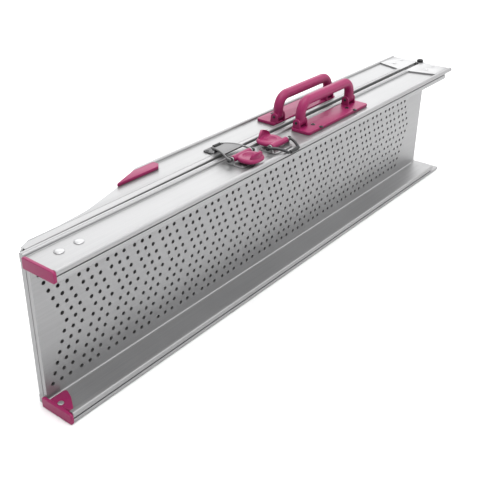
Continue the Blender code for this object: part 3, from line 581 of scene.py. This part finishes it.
def handle_skins(name):
    """The grip and base plate of one handle, with the four screws of the plate."""
    pins = [middle(f"handle_pin_{name}_{end}") for end in ("left", "right")]
    feet = [pin.x for pin in pins]
    pivot = (pins[0].y, pins[0].z)
    plate_low, plate_high = (corner - at(0, 0, 0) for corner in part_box(f"handle_base_{name}"))
    top_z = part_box(f"handle_grip_{name}")[1].z - GRIP_TOP
    bm = swept(grip_path(pivot, feet, top_z, GRIP_BEND), GRIP, sides=24)
    for foot in feet:
        turned([(foot - 0.0080, 0.0056), (foot - 0.0072, 0.0067), (foot + 0.0072, 0.0067), (foot + 0.0080, 0.0056)],
               "X", *pivot, bm=bm)
    show(moulded(raw(f"handle_grip_{name}_skin", bm), 0.0009, 4), f"handle_grip_{name}", f"handle_grip_{name}",
         angle=60)
    plate_top = WIDTH + PLATE_LIFT
    y0 = plate_low.y if name == "lower" else max(plate_low.y, 0.0137)
    bm = eased(rectangle(plate_low.x, y0, plate_high.x, plate_high.y, 0.005), "Z", SEAT, plate_top, 0.0008)
    for foot in feet:
        for mid in (foot - LUG_X, foot + LUG_X):
            lug = [Vector((pivot[0] + LUG * cos(pi * k / 16), pivot[1] + LUG * sin(pi * k / 16))) for k in range(17)]
            lug += [Vector((pivot[0] - 0.0075, plate_top - 0.0005)), Vector((pivot[0] + 0.0075, plate_top - 0.0005))]
            eased(lug, "X", mid - LUG_HALF, mid + LUG_HALF, 0.0005, bm)
    show(raw(f"handle_base_{name}_skin", bm), f"handle_base_{name}", f"handle_base_{name}", angle=50)
    for end in ("left", "right"):
        node = f"handle_pin_{name}_{end}"
        pin = middle(node)
        ends = [(-0.0125, 0.0018), (-0.0121, 0.0024), (0.0121, 0.0024), (0.0125, 0.0018)]
        bm = turned([(pin.x + x, radius) for x, radius in ends], "X", pin.y, pin.z, sides=24)
        show(raw(f"{node}_skin", bm), node, node)
    bm = bmesh.new()
    screw_y = (y0 + plate_high.y) / 2 + (0.004 if name == "upper" else -0.010)
    for x in (feet[0] + SCREW_X, feet[1] - SCREW_X):
        for shift in (-SCREW_SPREAD, SCREW_SPREAD):
            screw((x, screw_y + shift), plate_top, bm)
    show(raw(f"handle_screws_{name}", bm), f"handle_pin_{name}_left")


# ---------------------------------------------------------------- latches
def power(value, exponent):
    """A power that keeps the sign of its base."""
    return abs(value) ** exponent * (1 if value > 0 else -1)


def lever_skin(name, pin, reach):
    """A moulded lever: dished paddle, cam and an upright thumb scoop at the tip."""
    centre_y = pin.y - reach * LEVER_DEEP
    angles = [2 * pi * k / 48 for k in range(48)]
    paddle = [Vector((LEVER_HALF * power(cos(angle), 0.75), LEVER_DEEP * power(sin(angle), 0.85)))
              for angle in angles]
    levels = ((0.0012, 0.80), (0.0018, 0.90), (0.0030, 0.985), (0.0046, 1.0), (0.0062, 0.985), (0.0076, 0.93),
              (0.0085, 0.82))
    bm = loft([[(pin.x + point.x * scale, centre_y + point.y * scale, WIDTH + rise) for point in paddle]
               for rise, scale in levels])
    thing = raw(f"{name}_lever_skin", bm)
    cam = turned([(pin.x - LEVER_HALF, 0.0044), (pin.x - LEVER_HALF + 0.0006, 0.0050),
                  (pin.x + LEVER_HALF - 0.0006, 0.0050), (pin.x + LEVER_HALF, 0.0044)], "X", pin.y, pin.z)
    combine(thing, cam, "UNION")
    tip_y = pin.y - reach * 0.0352
    rings = []
    for rise, half in ((0.002, 0.0135), (0.007, 0.0138), (0.011, 0.0132), (0.0145, 0.0110), (0.0172, 0.0070),
                       (0.0184, 0.0030)):
        lean = reach * 0.0030 * (1 - rise / 0.0184)
        outline = []
        for thick, order in ((0.0, range(-6, 7)), (0.0034, range(6, -7, -1))):
            for k in order:
                bow = 0.0042 * (k / 6) ** 2
                outline.append((pin.x + half * k / 6, tip_y + reach * (bow + thick) + lean, WIDTH + rise))
        rings.append(outline)
    combine(thing, loft(rings), "UNION")
    dish = [(WIDTH + 0.0052, 0.0010), (WIDTH + 0.0056, 0.0062), (WIDTH + 0.0070, 0.0096), (WIDTH + 0.0100, 0.0130)]
    combine(thing, turned(dish, "Z", pin.x, centre_y + reach * 0.002))
    show(moulded(thing, 0.00055, 4), f"{name}_lever", f"{name}_lever", angle=60)


def bail_skin(name, pin, bar, path, bar_half, has_strap):
    """The wire loop of a latch, with eyes on the pin and a sleeve on the end bar."""
    run = path[-1][0] - path[0][0]
    halves = [EYE_X + (bar_half - EYE_X) * (y - path[0][0]) / run for y, z in path]
    wire = STRAP_WIRE if has_strap else WIRE
    bm = bmesh.new()
    for side in (-1, 1):
        swept([(pin.x + side * half, y, z) for half, (y, z) in zip(halves, path)], wire, bm=bm)
        eye = pin.x + side * EYE_X
        turned([(eye - 0.0016, 0.0030), (eye - 0.0012, 0.0036), (eye + 0.0012, 0.0036), (eye + 0.0016, 0.0030)],
               "X", pin.y, pin.z, bm=bm)
    reach = bar_half + 0.0015
    turned([(bar.x - reach, 0.0008), (bar.x - reach + 0.0005, END_BAR), (bar.x + reach - 0.0005, END_BAR),
            (bar.x + reach, 0.0008)], "X", bar.y, bar.z, bm=bm)
    if has_strap:
        rings = [[(pin.x + end * width, y, z + face * STRAP) for end, face in ((-1, -1), (1, -1), (1, 1), (-1, 1))]
                 for width, (y, z) in list(zip(halves, path))[5:-2]]
        loft(rings, bm)
    bail = show(raw(f"{name}_bail_skin", bm), f"{name}_bail", f"{name}_bail")
    if has_strap:
        bail.data.materials[0] = STRAP_STEEL
    half = bar_half - 0.003
    ends = [(-half, 0.0024), (-half + 0.0006, SLEEVE), (half - 0.0006, SLEEVE), (half, 0.0024)]
    sleeve = turned([(bar.x + x, radius) for x, radius in ends], "X", bar.y, bar.z)
    show(raw(f"{name}_sleeve_skin", sleeve), f"{name}_sleeve", f"{name}_sleeve")


def latch_skins(name, reach, path, bar_half, has_strap):
    """All pieces of one latch, with the rivets of its base. Reach is the way along Y from the lever to the bail."""
    pin, bar = middle(f"{name}_pin"), middle(f"{name}_sleeve")
    lever_skin(name, pin, reach)
    bail_skin(name, pin, bar, path, bar_half, has_strap)
    refined(f"{name}_base", 0.0004, 2)
    refined(f"{name}_pin", 0.0003, 2)
    face = SEAT + SHEET
    spots = [(pin.x + shift, pin.y - reach * 0.0175, face) for shift in (-0.018, 0.018)]
    group(f"{name}_base_rivets", spots, "glide_rivet_top_1", 0.0028, 0.0010)


def slide_path(pin, bar):
    """The wire of the clamp latch, which dips to its end bar: (y, z) points."""
    run = bar.y - pin.y
    drop = pin.z - bar.z
    return [(pin.y + run * k / 12, pin.z + 0.002 * sin(pi * k / 12) - drop * (k / 12) ** 2) for k in range(13)]


def fold_path(pin, bar):
    """The wire of the transport latch, which arches over to the keeper: (y, z) points."""
    run, climb = bar.y - pin.y, bar.z - pin.z
    return [(pin.y + run * k / 16, pin.z + climb * k / 16 + 0.0035 * sin(pi * k / 16)) for k in range(17)]


# ---------------------------------------------------------------- landing lip and small fittings
def landing_lip():
    """The bent lip with its rounded corners, and the row of rivets that holds it."""
    inset = FOOT_BEAD_DEEP + 0.0005
    back = FLOOR_BACK - GAP - LIP
    low, high = (corner - at(0, 0, 0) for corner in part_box("landing_lip"))
    drop = back - low.y
    shoulder_x = HORN_X - 2 * GAP
    stations = [(low.x, 0.006), (low.x + 0.0005, 0.0037), (low.x + 0.0016, 0.0018), (low.x + 0.0030, 0.0005),
                (low.x + 0.0045, 0.0), (shoulder_x, 0.0), (shoulder_x + GAP, inset)]
    stations += [(shoulder_x + GAP + (LIP_BEND_X - shoulder_x - GAP) * k / 16, inset) for k in range(1, 17)]
    stations += [(high.x - 0.003, inset), (high.x - 0.0008, inset + 0.0009), (high.x, inset + 0.003)]
    rings = []
    for x, margin in stations:
        reach = max(0.0, LIP_BEND_X - x) / (LIP_BEND_X - low.x)
        y = back - drop * reach ** 1.25
        rings.append([(x, *corner) for corner in rectangle(y, margin, y + LIP, WIDTH - margin, 0.0004)])
    show(raw("landing_lip_skin", loft(rings)), "landing_lip", "landing_lip")
    bm = bmesh.new()
    face = FLOOR_BACK + FLOOR
    for k in range(LIP_RIVETS):
        z = WIDTH * (k + 0.5) / LIP_RIVETS
        profile = [(face - 0.0002, 0.0042), (face + 0.0004, 0.0042), (face + 0.0010, 0.0032), (face + 0.0013, 0.0012)]
        turned(profile, "Y", LIP_RIVET_X, z, sides=24, bm=bm)
        profile = [(back + 0.0002, 0.0036), (back - 0.0006, 0.0032), (back - 0.0009, 0.0010)]
        turned(profile, "Y", LIP_RIVET_X, z, sides=24, bm=bm)
    show(raw("lip_rivets", bm), "hinge_rivet_upper_top_1")


def small_fittings():
    """End caps, wedges and keeper with broken edges. The hidden glides and stops keep their CAD shapes."""
    for node in ("end_cap_top", "end_cap_bottom"):
        refined(node, 0.0005, 2)
    for node in ("rim_wedge_top", "rim_wedge_bottom", "fold_keeper"):
        refined(node, 0.0003, 2)
    face = SEAT + SHEET
    keeper = middle("fold_keeper")
    spots = [(keeper.x + shift, keeper.y + 0.0055, face) for shift in (-0.007, 0.007)]
    group("fold_keeper_rivets", spots, "fold_keeper", 0.0026, 0.0010)
    for node, thing in NODES.items():
        if any(part in node for part in ("glide_t", "glide_b", "travel_stop")):
            thing.data.materials.clear()
            thing.data.materials.append(LOOKS[SLOT_OF[node]])


channels()
landing_lip()
rivet_skins()
hinge_skins()
handle_skins("lower")
handle_skins("upper")
for latch_name, latch_reach, route, half_width in (("slide_latch", -1, slide_path, 0.0130),
                                                   ("fold_latch", 1, fold_path, 0.0110)):
    points = route(middle(f"{latch_name}_pin"), middle(f"{latch_name}_sleeve"))
    latch_skins(latch_name, latch_reach, points, half_width, latch_name == "fold_latch")
small_fittings()


# ---------------------------------------------------------------- studio
def look(position, target, up):
    """The rotation of a camera or lamp at position that looks at target, with up as near as can be."""
    back = (position - target).normalized()
    right = up.cross(back).normalized()
    return Matrix((right, back.cross(right), back)).transposed().to_quaternion()


def make_camera():
    """The camera, turned by azimuth, elevation and roll, with its aim a little aside of that direction."""
    azimuth, elevation, roll = radians(-47.6), radians(28.5), radians(-1.4)
    position = at(-0.462, -0.694, 0.683)
    back = Vector((sin(azimuth) * cos(elevation), -cos(azimuth) * cos(elevation), sin(elevation)))
    level = look(back, Vector((0, 0, 0)), Vector((0, 0, 1)))
    straight = level @ Quaternion((0, 0, 1), roll)
    aside = straight @ Vector((0.0657, -0.0070, -1))
    data = bpy.data.cameras.new("camera")
    data.sensor_width = 36
    data.lens = 58.88
    camera = bpy.data.objects.new("camera", data)
    camera.location = position
    camera.rotation_mode = "QUATERNION"
    camera.rotation_quaternion = look(position, position + aside, straight @ Vector((0, 1, 0)))
    bpy.context.scene.collection.objects.link(camera)
    bpy.context.scene.camera = camera


def softbox(name, position, target, width, height, watts):
    data = bpy.data.lights.new(name, "AREA")
    data.shape = "RECTANGLE"
    data.size, data.size_y = width, height
    data.energy = watts
    lamp = bpy.data.objects.new(name, data)
    lamp.location = position
    lamp.rotation_mode = "QUATERNION"
    lamp.rotation_quaternion = look(position, target, Vector((0, 0, 1)))
    bpy.context.scene.collection.objects.link(lamp)


def make_studio():
    """A pale floor and sky, and three soft lights."""
    scene = bpy.context.scene
    world = bpy.data.worlds.new("studio")
    scene.world = world
    world.use_nodes = True
    nodes, links = world.node_tree.nodes, world.node_tree.links
    place = nodes.new("ShaderNodeTexCoord")
    split = nodes.new("ShaderNodeSeparateXYZ")
    ramp = nodes.new("ShaderNodeValToRGB")
    ramp.color_ramp.elements[0].position, ramp.color_ramp.elements[0].color = 0.05, (0.72, 0.72, 0.73, 1)
    ramp.color_ramp.elements[1].position, ramp.color_ramp.elements[1].color = 0.85, (1.3, 1.3, 1.3, 1)
    links.new(place.outputs["Generated"], split.inputs["Vector"])
    links.new(split.outputs["Z"], ramp.inputs["Fac"])
    links.new(ramp.outputs["Color"], nodes["Background"].inputs["Color"])
    scene.view_settings.view_transform = "Standard"
    bm = bmesh.new()
    bmesh.ops.create_grid(bm, x_segments=1, y_segments=1, size=60)
    mesh = bpy.data.meshes.new("studio_floor")
    bm.to_mesh(mesh)
    bm.free()
    mesh.materials.append(textured("paper_floor", (0.79, 0.79, 0.79), 0.75, 0.0, (1, 1, 1), 60.0, 0.01, 0.02))
    floor = bpy.data.objects.new("studio_floor", mesh)
    floor.location.z = -0.0005
    scene.collection.objects.link(floor)
    centre = Vector((0, 0, 0.1))
    softbox("back_softbox", Vector((2.2, 2.0, 1.9)), centre, 3.4, 2.4, 50)
    softbox("side_softbox", Vector((2.3, -2.1, 1.8)), centre, 3.2, 2.2, 32)
    softbox("top_softbox", Vector((-0.2, -0.3, 3.0)), centre, 2.4, 2.4, 75)


make_camera()
make_studio()
